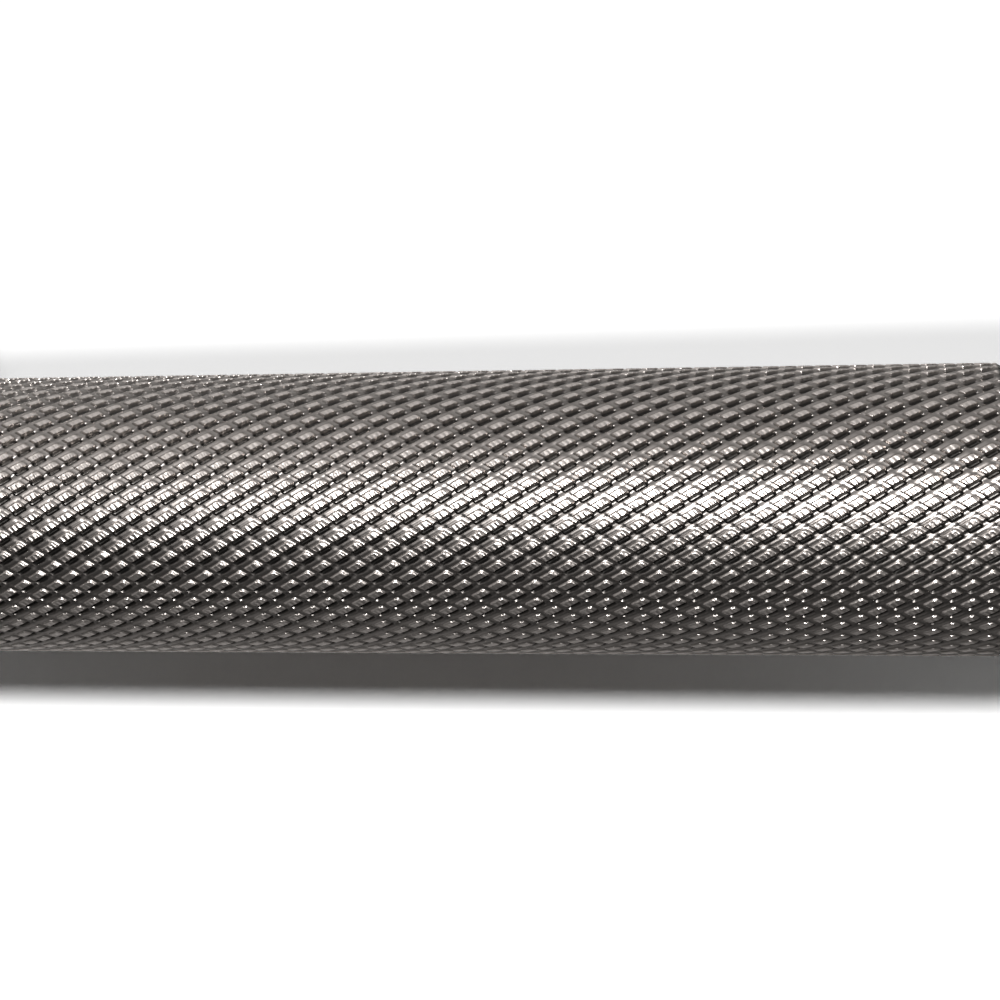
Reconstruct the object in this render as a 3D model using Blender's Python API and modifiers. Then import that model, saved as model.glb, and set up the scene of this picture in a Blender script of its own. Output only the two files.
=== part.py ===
"""Loadable dumbbell bar: a steel shaft with a knurled grip that carries a turning sleeve on bushings at each end.

Units are metres and +Z is up. The shaft lies along X with the middle of the grip at the origin. Each end is
built pointing along +X under an empty at the origin, and the left end's empty is turned half round about Z.
"""

import math

import bpy

# Sizes of the grip
GRIP_LENGTH = 0.140  # free length for the hand, from collar to collar
GRIP_DIAMETER = 0.028  # over the tips of the knurl
LAND_LENGTH = 0.0085  # smooth stretch between the knurl and each collar
LAND_DIAMETER = 0.0274
KNURL_RUN_OUT = 0.0006  # over which the knurl falls to the land

# Sizes of the shaft inside the sleeves
JOURNAL_DIAMETER = 0.025
SHOULDER_DEPTH = 0.006  # how far the land reaches into the sleeve
SHAFT_CHAMFER = 0.001
SNAP_GROOVE_DEPTH = 0.0012
SNAP_RING_EDGE = 0.0045  # steel left between the snap ring groove and the end of the shaft

# Sizes of the sleeve that the plates slide onto
SLEEVE_LENGTH = 0.154
SLEEVE_DIAMETER = 0.050
SLEEVE_CHAMFER = 0.0015
BORE_DIAMETER = 0.032
CAP_SEAT_DIAMETER = 0.037
CAP_GROOVE_DEPTH = 0.0011
CAP_GROOVE_EDGE = 0.0013  # lip of the sleeve outside the end cap's ring
CAP_RECESS = 0.0035  # from the shaft's end to the end cap

# Sizes of the collar that the plates rest against
COLLAR_DIAMETER = 0.076
COLLAR_WIDTH = 0.014
COLLAR_ROUND = 0.002

# Sizes of the small parts
BUSHING_LENGTH = 0.026
BUSHING_CHAMFER = 0.0004
WASHER_THICKNESS = 0.0016
SEAL_THICKNESS = 0.003
SEAL_LIP = 0.0007
SNAP_RING_THICKNESS = 0.0015
SNAP_RING_WIDTH = 0.002
CAP_THICKNESS = 0.004
CAP_DISH = 0.0008
CAP_RIM_WIDTH = 0.003
CAP_RING_THICKNESS = 0.0012
CAP_RING_WIDTH = 0.0022
EAR_REACH = 0.0016  # how far a ring's ears stand out from its band
EAR_WIDTH = 0.0036
EAR_HOLE_DIAMETER = 0.0015
PIN_DIAMETER = 0.005
PIN_WALL = 0.001
PIN_SLOT = math.radians(50)

# Gaps between neighbours
CLEARANCE = 0.0003  # round a fit and between faces that rest on each other
RUNNING_CLEARANCE = 0.0001  # from the journal to the bushings that turn on it
WASHER_GAP = 0.0005  # from a thrust washer's rim to the bore

# Steps round a turned part and along a ring
WIDE_STEPS = 48
NARROW_STEPS = 32
HOLE_STEPS = 16
EAR_HOLE_STEPS = 8
RING_STEP = math.radians(15)
SHARP_ANGLE = math.radians(30)

# Radii
TIP_RADIUS = GRIP_DIAMETER / 2
LAND_RADIUS = LAND_DIAMETER / 2
JOURNAL_RADIUS = JOURNAL_DIAMETER / 2
SNAP_GROOVE_RADIUS = JOURNAL_RADIUS - SNAP_GROOVE_DEPTH
SLEEVE_RADIUS = SLEEVE_DIAMETER / 2
BORE_RADIUS = BORE_DIAMETER / 2
CAP_SEAT_RADIUS = CAP_SEAT_DIAMETER / 2
CAP_GROOVE_RADIUS = CAP_SEAT_RADIUS + CAP_GROOVE_DEPTH
COLLAR_RADIUS = COLLAR_DIAMETER / 2
PIN_RADIUS = PIN_DIAMETER / 2

# Places along the shaft, from the middle of the grip outwards
GRIP_END = GRIP_LENGTH / 2
KNURL_END = GRIP_END - LAND_LENGTH
SEAL_START = GRIP_END + CLEARANCE
SHOULDER = GRIP_END + SHOULDER_DEPTH
INNER_WASHER_START = SHOULDER + CLEARANCE
INNER_BUSHING_START = INNER_WASHER_START + WASHER_THICKNESS + CLEARANCE
SLEEVE_END = GRIP_END + SLEEVE_LENGTH
CAP_GROOVE_WIDTH = CAP_RING_THICKNESS + 2 * CLEARANCE
CAP_GROOVE_END = SLEEVE_END - CAP_GROOVE_EDGE
CAP_GROOVE_START = CAP_GROOVE_END - CAP_GROOVE_WIDTH
CAP_START = CAP_GROOVE_START - CAP_THICKNESS
CAP_SEAT = CAP_START - CLEARANCE
SHAFT_END = CAP_START - CAP_RECESS
SNAP_GROOVE_WIDTH = SNAP_RING_THICKNESS + 2 * CLEARANCE
SNAP_GROOVE_END = SHAFT_END - SNAP_RING_EDGE
SNAP_GROOVE_START = SNAP_GROOVE_END - SNAP_GROOVE_WIDTH
OUTER_WASHER_START = SNAP_GROOVE_START - WASHER_THICKNESS
OUTER_BUSHING_START = OUTER_WASHER_START - CLEARANCE - BUSHING_LENGTH
PIN_PLACE = GRIP_END + COLLAR_WIDTH / 2
PIN_BOTTOM = BORE_RADIUS + 2 * CLEARANCE
PIN_TOP = COLLAR_RADIUS - CLEARANCE

ALONG_SHAFT = (0, math.pi / 2, 0)  # turns a part's own +Z to point along +X


def clear_scene():
    for old in list(bpy.data.objects):
        bpy.data.objects.remove(old)


def new_collection(name):
    collection = bpy.data.collections.new(name)
    bpy.context.scene.collection.children.link(collection)
    return collection


def new_material(name, colour, roughness, metallic):
    material = bpy.data.materials.new(name)
    material.use_nodes = True
    shader = material.node_tree.nodes["Principled BSDF"]
    shader.inputs["Base Color"].default_value = (*colour, 1)
    shader.inputs["Roughness"].default_value = roughness
    shader.inputs["Metallic"].default_value = metallic
    return material


def add_part(name, data, material, collection, parent=None, location=(0, 0, 0), rotation=(0, 0, 0)):
    part = bpy.data.objects.new(name, data)
    part.data.materials.append(material)
    part.parent = parent
    part.location = location
    part.rotation_euler = rotation
    collection.objects.link(part)
    return part


def turned_mesh(name, points, steps, closed):
    """Turns a profile of (radius, height) points round Z with a Screw modifier, and shades the result smooth.

    The profile runs down the outer side. It stands half a step past +X, so that the part lies on a flat side.
    """
    turn = math.pi / steps
    corners = [(radius * math.cos(turn), radius * math.sin(turn), height) for radius, height in points]
    edges = [(i, i + 1) for i in range(len(points) - 1)]
    if closed:
        edges.append((len(points) - 1, 0))
    profile = bpy.data.meshes.new(name + "_profile")
    profile.from_pydata(corners, edges, [])
    carrier = bpy.data.objects.new(name + "_profile", profile)
    bpy.context.scene.collection.objects.link(carrier)
    screw = carrier.modifiers.new("turn", "SCREW")
    screw.steps = steps
    screw.render_steps = steps
    screw.use_merge_vertices = True
    screw.merge_threshold = 0.00001
    mesh = bpy.data.meshes.new_from_object(carrier.evaluated_get(bpy.context.evaluated_depsgraph_get()))
    bpy.data.objects.remove(carrier)
    mesh.name = name
    mesh.shade_smooth()
    mesh.set_sharp_from_angle(angle=SHARP_ANGLE)
    return mesh


def turned_part(name, points, start, steps, material, collection, parent, closed=True):
    """A part turned round the shaft's axis, the heights of its profile counted along the shaft from start."""
    mesh = turned_mesh(name, points, steps, closed)
    return add_part(name, mesh, material, collection, parent, (start, 0, 0), ALONG_SHAFT)


def ring_profile(inner, outer, height, chamfer=0.0):
    """A plain ring's section, with its outer corners chamfered where a chamfer is given."""
    if chamfer == 0:
        return [(outer, height), (outer, 0), (inner, 0), (inner, height)]
    return [
        (outer - chamfer, height),
        (outer, height - chamfer),
        (outer, chamfer),
        (outer - chamfer, 0),
        (inner, 0),
        (inner, height),
    ]


def rounded_corner(centre_radius, centre_height, size, first, last, steps=2):
    """Points on a quarter round of a turned profile, from the first angle to the last."""
    angles = [first + (last - first) * i / steps for i in range(steps + 1)]
    return [(centre_radius + size * math.cos(a), centre_height + size * math.sin(a)) for a in angles]


def arc(radius, first, last, step=RING_STEP):
    count = max(1, math.ceil(abs(last - first) / step))
    angles = [first + (last - first) * i / count for i in range(count + 1)]
    return [(radius * math.cos(a), radius * math.sin(a)) for a in angles]


def flat_curve(name, outlines, thickness):
    """A flat plate of the given thickness, its first outline the rim and the others its holes."""
    curve = bpy.data.curves.new(name, "CURVE")
    curve.dimensions = "2D"
    curve.fill_mode = "BOTH"
    curve.extrude = thickness / 2
    for outline in outlines:
        spline = curve.splines.new("POLY")
        spline.points.add(len(outline) - 1)
        for point, (x, y) in zip(spline.points, outline):
            point.co = (x, y, 0, 1)
        spline.use_cyclic_u = True
    return curve


def ear_hole(radius, angle):
    """The round hole that pliers grip, in an ear at this radius and angle."""
    x = radius * math.cos(angle)
    y = radius * math.sin(angle)
    rim = arc(EAR_HOLE_DIAMETER / 2, 0, 2 * math.pi, 2 * math.pi / EAR_HOLE_STEPS)[:-1]
    return [(x + u, y + v) for u, v in rim]


def open_ring(name, plain, eared, ear, thickness):
    """A spring ring that is open at one side, with an ear at each end of its band.

    The radii are those of the band's plain edge, of its eared edge and of the ears' tips.
    """
    middle = (plain + ear) / 2
    turn = EAR_WIDTH / middle
    gap = turn / 3
    foot = gap + 1.3 * turn
    full = 2 * math.pi
    rim = arc(ear, gap, gap + turn)
    rim += arc(eared, foot, full - foot)
    rim += arc(ear, full - gap - turn, full - gap)
    rim += arc(plain, full - gap, gap)
    holes = [ear_hole(middle, side * (gap + turn / 2)) for side in (1, -1)]
    return flat_curve(name, [rim, *holes], thickness)


def shaft_profile():
    """The shaft's section from one end to the other: journal with its snap ring groove, land, grip and back."""
    right = [
        (0, SHAFT_END),
        (JOURNAL_RADIUS - SHAFT_CHAMFER, SHAFT_END),
        (JOURNAL_RADIUS, SHAFT_END - SHAFT_CHAMFER),
        (JOURNAL_RADIUS, SNAP_GROOVE_END),
        (SNAP_GROOVE_RADIUS, SNAP_GROOVE_END),
        (SNAP_GROOVE_RADIUS, SNAP_GROOVE_START),
        (JOURNAL_RADIUS, SNAP_GROOVE_START),
        (JOURNAL_RADIUS, SHOULDER),
        (LAND_RADIUS, SHOULDER),
        (LAND_RADIUS, KNURL_END),
        (TIP_RADIUS, KNURL_END - KNURL_RUN_OUT),
    ]
    return right + [(radius, -place) for radius, place in reversed(right)]


def sleeve_profile():
    """The sleeve's section: chamfered outside, stepped bore inside with the end cap's seat and ring groove."""
    length = SLEEVE_LENGTH
    seat = CAP_SEAT - GRIP_END
    groove_start = CAP_GROOVE_START - GRIP_END
    groove_end = CAP_GROOVE_END - GRIP_END
    return [
        (SLEEVE_RADIUS - SLEEVE_CHAMFER, length),
        (SLEEVE_RADIUS, length - SLEEVE_CHAMFER),
        (SLEEVE_RADIUS, 0),
        (BORE_RADIUS, 0),
        (BORE_RADIUS, seat),
        (CAP_SEAT_RADIUS, seat),
        (CAP_SEAT_RADIUS, groove_start),
        (CAP_GROOVE_RADIUS, groove_start),
        (CAP_GROOVE_RADIUS, groove_end),
        (CAP_SEAT_RADIUS, groove_end),
        (CAP_SEAT_RADIUS, length),
    ]


def collar_profile():
    """The collar's section, a ring with its two outer corners rounded."""
    inner = SLEEVE_RADIUS + CLEARANCE
    centre = COLLAR_RADIUS - COLLAR_ROUND
    top = rounded_corner(centre, COLLAR_WIDTH - COLLAR_ROUND, COLLAR_ROUND, math.pi / 2, 0)
    bottom = rounded_corner(centre, COLLAR_ROUND, COLLAR_ROUND, 0, -math.pi / 2)
    return [*top, *bottom, (inner, 0), (inner, COLLAR_WIDTH)]


def cap_profile():
    """Half of the end cap's section: a disc with a raised rim round a shallow dish."""
    radius = CAP_SEAT_RADIUS - CLEARANCE
    dish = radius - CAP_RIM_WIDTH
    return [
        (0, CAP_THICKNESS - CAP_DISH),
        (dish - CAP_DISH, CAP_THICKNESS - CAP_DISH),
        (dish, CAP_THICKNESS),
        (radius, CAP_THICKNESS),
        (radius, 0),
        (0, 0),
    ]


def seal_profile():
    """The wiper seal's section: a flat ring with a thin lip that reaches in towards the shaft."""
    outer = BORE_RADIUS - CLEARANCE
    inner = LAND_RADIUS + CLEARANCE
    return [
        (outer, SEAL_THICKNESS),
        (outer, 0),
        (inner, 0),
        (inner, SEAL_LIP),
        (inner + SEAL_LIP, 2 * SEAL_LIP),
        (inner + SEAL_LIP, SEAL_THICKNESS),
    ]


def add_pin_bore(parts, parent, cutters):
    """Drills the collar and the sleeve's wall for the pin that holds them together."""
    depth = COLLAR_RADIUS
    bpy.ops.mesh.primitive_cylinder_add(vertices=HOLE_STEPS, radius=PIN_RADIUS + CLEARANCE, depth=depth)
    cutter = bpy.context.object
    cutter.name = parts[0].name + "_pin_bore"
    cutter.parent = parent
    cutter.location = (PIN_PLACE, 0, BORE_RADIUS - CLEARANCE + depth / 2)
    cutter.display_type = "WIRE"
    cutter.hide_render = True
    for collection in list(cutter.users_collection):
        collection.objects.unlink(cutter)
    cutters.objects.link(cutter)
    for part in parts:
        bore = part.modifiers.new("pin_bore", "BOOLEAN")
        bore.object = cutter
        bore.operation = "DIFFERENCE"


def pin_curve(name):
    """A slotted spring pin, drawn as seen along its length."""
    half_slot = PIN_SLOT / 2
    step = 2 * math.pi / HOLE_STEPS
    rim = arc(PIN_RADIUS, half_slot, 2 * math.pi - half_slot, step)
    rim += arc(PIN_RADIUS - PIN_WALL, 2 * math.pi - half_slot, half_slot, step)
    return flat_curve(name, [rim], PIN_TOP - PIN_BOTTOM)


def add_sleeve(side, end, chrome, spring, bar, cutters):
    """The sleeve, the collar round its inner end, and the pin that ties the two together."""
    sleeve = turned_part(f"{side}_sleeve", sleeve_profile(), GRIP_END, WIDE_STEPS, chrome, bar, end)
    collar = turned_part(f"{side}_collar", collar_profile(), GRIP_END, WIDE_STEPS, chrome, bar, end)
    add_pin_bore([collar, sleeve], end, cutters)
    place = (PIN_PLACE, 0, (PIN_TOP + PIN_BOTTOM) / 2)
    add_part(f"{side}_collar_pin", pin_curve(f"{side}_collar_pin"), spring, bar, end, place)


def add_bearing(side, end, bronze, steel, rubber, bar):
    """What the sleeve turns on: two bushings, a thrust washer outside each, and the wiper seal at the grip."""
    outer = BORE_RADIUS - CLEARANCE
    bushing = ring_profile(JOURNAL_RADIUS + RUNNING_CLEARANCE, outer, BUSHING_LENGTH, BUSHING_CHAMFER)
    washer = ring_profile(JOURNAL_RADIUS + CLEARANCE, BORE_RADIUS - WASHER_GAP, WASHER_THICKNESS)
    for name, points, start, material in (
        ("wiper_seal", seal_profile(), SEAL_START, rubber),
        ("inner_thrust_washer", washer, INNER_WASHER_START, steel),
        ("inner_bushing", bushing, INNER_BUSHING_START, bronze),
        ("outer_bushing", bushing, OUTER_BUSHING_START, bronze),
        ("outer_thrust_washer", washer, OUTER_WASHER_START, steel),
    ):
        turned_part(f"{side}_{name}", points, start, NARROW_STEPS, material, bar, end)


def add_retainers(side, end, chrome, spring, bar):
    """What keeps the parts in: the shaft's snap ring, the end cap, and the ring that holds the cap."""
    inside = SNAP_GROOVE_RADIUS + CLEARANCE
    outside = inside + SNAP_RING_WIDTH
    name = f"{side}_shaft_snap_ring"
    ring = open_ring(name, inside, outside, outside + EAR_REACH, SNAP_RING_THICKNESS)
    middle = (SNAP_GROOVE_START + SNAP_GROOVE_END) / 2
    add_part(name, ring, spring, bar, end, (middle, 0, 0), ALONG_SHAFT)

    cap = cap_profile()
    turned_part(f"{side}_end_cap", cap, CAP_START, NARROW_STEPS, chrome, bar, end, closed=False)

    outside = CAP_GROOVE_RADIUS - CLEARANCE
    inside = outside - CAP_RING_WIDTH
    name = f"{side}_end_cap_ring"
    ring = open_ring(name, outside, inside, inside - EAR_REACH, CAP_RING_THICKNESS)
    middle = (CAP_GROOVE_START + CAP_GROOVE_END) / 2
    add_part(name, ring, spring, bar, end, (middle, 0, 0), ALONG_SHAFT)


def main():
    clear_scene()
    bar = new_collection("dumbbell_bar")
    cutters = new_collection("cutters")
    knurled = new_material("knurled_chrome", (0.50, 0.49, 0.47), 0.28, 1)
    chrome = new_material("polished_chrome", (0.62, 0.62, 0.61), 0.12, 1)
    bronze = new_material("bearing_bronze", (0.60, 0.40, 0.20), 0.35, 1)
    steel = new_material("washer_steel", (0.45, 0.45, 0.44), 0.35, 1)
    spring = new_material("spring_steel", (0.12, 0.12, 0.13), 0.40, 1)
    rubber = new_material("seal_rubber", (0.02, 0.02, 0.02), 0.70, 0)
    turned_part("knurled_shaft", shaft_profile(), 0, WIDE_STEPS, knurled, bar, None, closed=False)
    for side, turn in (("right", 0), ("left", math.pi)):
        end = bpy.data.objects.new(f"{side}_end", None)
        end.rotation_euler = (0, 0, turn)
        bar.objects.link(end)
        add_sleeve(side, end, chrome, spring, bar, cutters)
        add_bearing(side, end, bronze, steel, rubber, bar)
        add_retainers(side, end, chrome, spring, bar)


main()
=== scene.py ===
# %% [markdown]
# # A loadable dumbbell bar with a knurled grip
# A steel shaft carries a turning sleeve at each end. The hand holds the knurled grip in the middle, and
# the plates slide onto the sleeves up to a collar. The lesson starts from solids that already have the
# right sizes, and gives each one the shape and finish that the eye expects. Lengths are in metres, and
# the shaft lies along X.

# %% Load the frame
import math
from functools import partial

import bmesh
import bpy
from mathutils import Matrix, Vector


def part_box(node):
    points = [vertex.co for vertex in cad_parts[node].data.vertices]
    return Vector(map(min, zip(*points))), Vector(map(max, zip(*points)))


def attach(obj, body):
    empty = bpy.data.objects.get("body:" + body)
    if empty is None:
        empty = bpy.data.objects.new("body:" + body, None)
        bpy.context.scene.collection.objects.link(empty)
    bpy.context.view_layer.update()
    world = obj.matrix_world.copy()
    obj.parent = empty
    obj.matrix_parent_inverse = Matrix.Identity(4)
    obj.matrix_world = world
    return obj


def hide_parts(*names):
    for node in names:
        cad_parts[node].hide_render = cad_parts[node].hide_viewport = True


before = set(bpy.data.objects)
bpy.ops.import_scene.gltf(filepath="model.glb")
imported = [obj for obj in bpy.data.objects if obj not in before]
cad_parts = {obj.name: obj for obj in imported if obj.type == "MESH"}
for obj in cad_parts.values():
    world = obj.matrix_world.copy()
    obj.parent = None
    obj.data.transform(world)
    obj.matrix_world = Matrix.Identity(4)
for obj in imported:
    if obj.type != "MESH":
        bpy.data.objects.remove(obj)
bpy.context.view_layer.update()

MM = 0.001

# %% [markdown]
# ## Sizes taken from the solids
# A fine piece has to stay in the space of its solid. The solids are turned with 48 or 32 flat sides, so
# the box round one measures it across its flats, which is the widest true circle that fits inside it.

# %% Measure the solids
def radius_of(node):
    low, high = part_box(node)
    return (high.z - low.z) / 2


def reach_of(node):
    low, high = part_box(node)
    return low.x, high.x


COLLAR_RADIUS = radius_of("right_collar")
SLEEVE_RADIUS = radius_of("right_sleeve")
CAP_RADIUS = radius_of("right_end_cap")
TIP_RADIUS = radius_of("knurled_shaft")
COLLAR_START, COLLAR_END = reach_of("right_collar")
CAP_START, CAP_END = reach_of("right_end_cap")
RING_START, RING_END = reach_of("right_end_cap_ring")
SEAL_START, SEAL_END = reach_of("right_wiper_seal")
SLEEVE_END = reach_of("right_sleeve")[1]
SHAFT_END = reach_of("knurled_shaft")[1]
for name, size in (("grip", TIP_RADIUS), ("sleeve", SLEEVE_RADIUS), ("collar", COLLAR_RADIUS)):
    print(f"{name} diameter {2 * size / MM:.2f} mm")

# %% [markdown]
# ## The camera
# The picture looks down on the grip from 40 degrees, with its right end a little nearer. How fast the bar
# widens to the right gives the turn and the distance. Only the grip is in view, so the frame is centred a
# little to the right of the bar's middle, where neither collar nor its shadow comes into it.

# %% Place the camera
FRAME_WIDTH = 1000  # pixels
FOCAL_PIXELS = 2250
GRIP_PIXELS = 142  # half the grip's width at the middle of the frame
AXIS_PIXELS = 12  # how far the grip's axis lies below the middle of the frame
CAMERA_HEIGHT = math.radians(40)
NEAR_END_TURN = math.radians(9.66)
GRIP_RISE = math.radians(0.34)  # how much the bar climbs to the right in the picture
CAMERA_SHIFT = 13.30 * MM


def camera_place():
    side = math.asin(math.sin(NEAR_END_TURN) / math.cos(CAMERA_HEIGHT))
    level = math.cos(CAMERA_HEIGHT)
    back = Vector((math.sin(side) * level, -math.cos(side) * level, math.sin(CAMERA_HEIGHT)))
    along = (Vector((1, 0, 0)) - back.x * back).normalized()
    right = math.cos(GRIP_RISE) * along - math.sin(GRIP_RISE) * back.cross(along)
    up = back.cross(right)
    distance = TIP_RADIUS * math.hypot(1, FOCAL_PIXELS / GRIP_PIXELS)
    place = distance * (back + up * AXIS_PIXELS / FOCAL_PIXELS) + Vector((CAMERA_SHIFT, 0, 0))
    return Matrix.Translation(place) @ Matrix((right, up, back)).transposed().to_4x4()


camera = bpy.data.objects.new("camera", bpy.data.cameras.new("camera"))
bpy.context.scene.collection.objects.link(camera)
bpy.context.scene.camera = camera
camera.data.sensor_width = 36
camera.data.lens = camera.data.sensor_width * FOCAL_PIXELS / FRAME_WIDTH
camera.data.clip_start = 10 * MM
camera.matrix_world = camera_place()
print("camera at", [round(x / MM) for x in camera.matrix_world.translation], "mm")

# %% [markdown]
# ## Wiring nodes in code
# Shader trees and geometry trees are wired in the same way, so three small helpers serve both. The first
# adds a node and fills its inputs with numbers or with other nodes' sockets, the second does one sum, and
# the third fades from 0 to 1 between two values.

# %% Node helpers
def add_node(tree, kind, inputs=None, **settings):
    node = tree.nodes.new(kind)
    for name, value in settings.items():
        setattr(node, name, value)
    for key, value in (inputs or {}).items():
        if isinstance(value, bpy.types.NodeSocket):
            tree.links.new(value, node.inputs[key])
        else:
            node.inputs[key].default_value = value
    return node


def calculate(tree, operation, *values):
    return add_node(tree, "ShaderNodeMath", dict(enumerate(values)), operation=operation).outputs[0]


def fade(tree, value, low, high, shape="SMOOTHSTEP"):
    ends = {"Value": value, "From Min": low, "From Max": high}
    return add_node(tree, "ShaderNodeMapRange", ends, interpolation_type=shape).outputs["Result"]


def blend(tree, kind, amount, first, second):
    node = add_node(tree, "ShaderNodeMix", data_type=kind)
    sockets = {s.name: s for s in node.inputs if s.enabled}
    result = [s for s in node.outputs if s.enabled][0]
    for name, value in (("Factor", amount), ("A", first), ("B", second)):
        if isinstance(value, bpy.types.NodeSocket):
            tree.links.new(value, sockets[name])
        else:
            sockets[name].default_value = value
    return result


print("helpers ready")

# %% [markdown]
# ## The knurl's lattice
# Two knurling wheels press crossing sets of spiral grooves into the turned bar and leave rows of
# diamonds. The pattern is counted rather than measured: 37 rows fit along the grip and 44 starts go round
# it. Each point of the skin therefore has a place in rows and turns, and the fraction of row minus turn
# says how far it is from a rising groove. Row plus turn does the same for the falling ones. A grid whose
# lines pass through every crossing can follow the grooves without ragged edges.

# %% Count the knurl
KNURL_ROWS = 37
KNURL_STARTS = 44
KNURL_END = 61.5 * MM
STEPS_PER_DIAMOND = 20
LAND_RADIUS = 13.67 * MM
SLICE_ROWS = (5, 5, 4, 5, 4, 4, 5, 5)
SLICE_FOR_THE_SOLID = 4  # this slice stands for the shaft's whole solid
row_pitch = 2 * KNURL_END / KNURL_ROWS
turn_pitch = 2 * math.pi * TIP_RADIUS / KNURL_STARTS
print(f"diamonds {row_pitch / MM:.2f} mm along the bar and {turn_pitch / MM:.2f} mm round it")

# %% [markdown]
# ## The shape of one diamond
# Across a rising groove the section repeats along the whole grip: the groove with its steep walls, a
# smooth rail beside it, and then the scale, which is the part of the diamond that the wheels squeezed up
# highest. The lower end of each scale is cut off short and its upper end runs out gently, so the rows
# overlap like the scales of a fish. Walls are straight slopes, because the teeth of a knurling wheel have
# flat sides.

# %% The knurl tree
KNURL_SIZES = {
    "Half Length": KNURL_END,
    "Tip Radius": TIP_RADIUS,
    "Land Radius": LAND_RADIUS,
    "Groove Depth": 0.29 * MM,
    "Crossing Depth": 0.07 * MM,
    "Scale Height": 0.22 * MM,
    "Crown": 0.026 * MM,
    "Burr": 0.02 * MM,
    "Run Out": 0.5 * MM,
}
KNURL_COUNTS = {"First Row": 0, "Rows": 0, "All Rows": KNURL_ROWS, "Starts": KNURL_STARTS,
                "Steps": STEPS_PER_DIAMOND}
# Places across a rising groove, and for the crossing and the scale's ends along it, in diamonds.
RIDGE = (0.03, 0.16, 0.80, 0.92)  # foot of the near wall, its top, top of the far wall, its foot
CROSSING = (0.06, 0.14, 0.42, 0.50)  # where a falling groove runs through, in the same order
RAIL_MIDDLE = 0.28
RAIL_HALF_WIDTH = 0.12
RAIL_SHARE = 0.24  # how high a rail stands, as a share of its scale
SCALE_FLANK = (0.37, 0.50)
SCALE_FOOT = (0.0, 0.09)
SCALE_TAIL = (0.86, 0.64)
SCALE_END_SHARE = 0.18
BURR_GRAIN = 2400.0  # features in a metre


def open_tree(name, sizes, counts):
    tree = bpy.data.node_groups.new(name, "GeometryNodeTree")
    tree.interface.new_socket("Geometry", in_out="OUTPUT", socket_type="NodeSocketGeometry")
    keys = {}
    for kind, names in (("NodeSocketFloat", sizes), ("NodeSocketInt", counts)):
        for key in names:
            keys[key] = tree.interface.new_socket(key, in_out="INPUT", socket_type=kind).identifier
    return tree, add_node(tree, "NodeGroupInput").outputs, keys


def lattice(tree, given):
    """A flat grid of one slice, with each point's row and turn, and whether it is on a closed end."""
    do = partial(calculate, tree)
    columns = do("MULTIPLY", given["Rows"], given["Steps"])
    around = do("MULTIPLY", given["Starts"], given["Steps"])
    last = do("ADD", columns, 2)
    grid = add_node(tree, "GeometryNodeMeshGrid", {
        "Size X": 1.0, "Size Y": 1.0,
        "Vertices X": do("ADD", last, 1),
        "Vertices Y": do("ADD", around, 1),
    })
    at = add_node(tree, "ShaderNodeSeparateXYZ", {0: add_node(tree, "GeometryNodeInputPosition").outputs[0]})
    column = do("ROUND", do("MULTIPLY_ADD", at.outputs["X"], last, do("MULTIPLY", last, 0.5)))
    inside = do("SUBTRACT", column, 1)
    inside = do("MINIMUM", do("MAXIMUM", inside, 0), columns)
    row = do("ADD", do("DIVIDE", inside, given["Steps"]), given["First Row"])
    step = do("ROUND", do("MULTIPLY", do("ADD", at.outputs["Y"], 0.5), around))
    turn = do("DIVIDE", step, given["Steps"])
    middle = do("MULTIPLY", last, 0.5)
    from_middle = do("ABSOLUTE", do("SUBTRACT", column, middle))
    rim = do("COMPARE", from_middle, middle, 0.25)
    return grid.outputs["Mesh"], row, turn, rim


def cut_depth(tree, given, row, turn):
    """How far below the tips the skin lies, in metres."""
    do = partial(calculate, tree)

    def between(phase, low, full, leave, gone):
        rise = fade(tree, phase, low, full, "LINEAR")
        return do("MULTIPLY", rise, fade(tree, phase, gone, leave, "LINEAR"))

    across = do("FRACT", do("SUBTRACT", row, turn))
    along = do("FRACT", do("ADD", row, turn))
    from_crossing = do("FRACT", do("ADD", along, 0.5))
    ridge = between(across, *RIDGE)
    crossing = between(from_crossing, *CROSSING)
    groove = blend(tree, "FLOAT", crossing, given["Groove Depth"], given["Crossing Depth"])
    outline = do("MULTIPLY_ADD", fade(tree, across, *SCALE_FLANK), 1 - RAIL_SHARE, RAIL_SHARE)
    length = do("MULTIPLY", fade(tree, along, *SCALE_FOOT, "LINEAR"), fade(tree, along, *SCALE_TAIL))
    length = do("MULTIPLY_ADD", length, 1 - SCALE_END_SHARE, SCALE_END_SHARE)
    scale = do("MULTIPLY", do("MULTIPLY", outline, length), ridge)
    rail = do("DIVIDE", do("SUBTRACT", across, RAIL_MIDDLE), RAIL_HALF_WIDTH)
    rail = do("MINIMUM", do("POWER", rail, 2), 1)
    cut = do("ADD", do("MULTIPLY", groove, do("SUBTRACT", 1, ridge)),
             do("MULTIPLY", given["Scale Height"], do("SUBTRACT", 1, scale)))
    return do("ADD", cut, do("MULTIPLY", rail, given["Crown"]))


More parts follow.
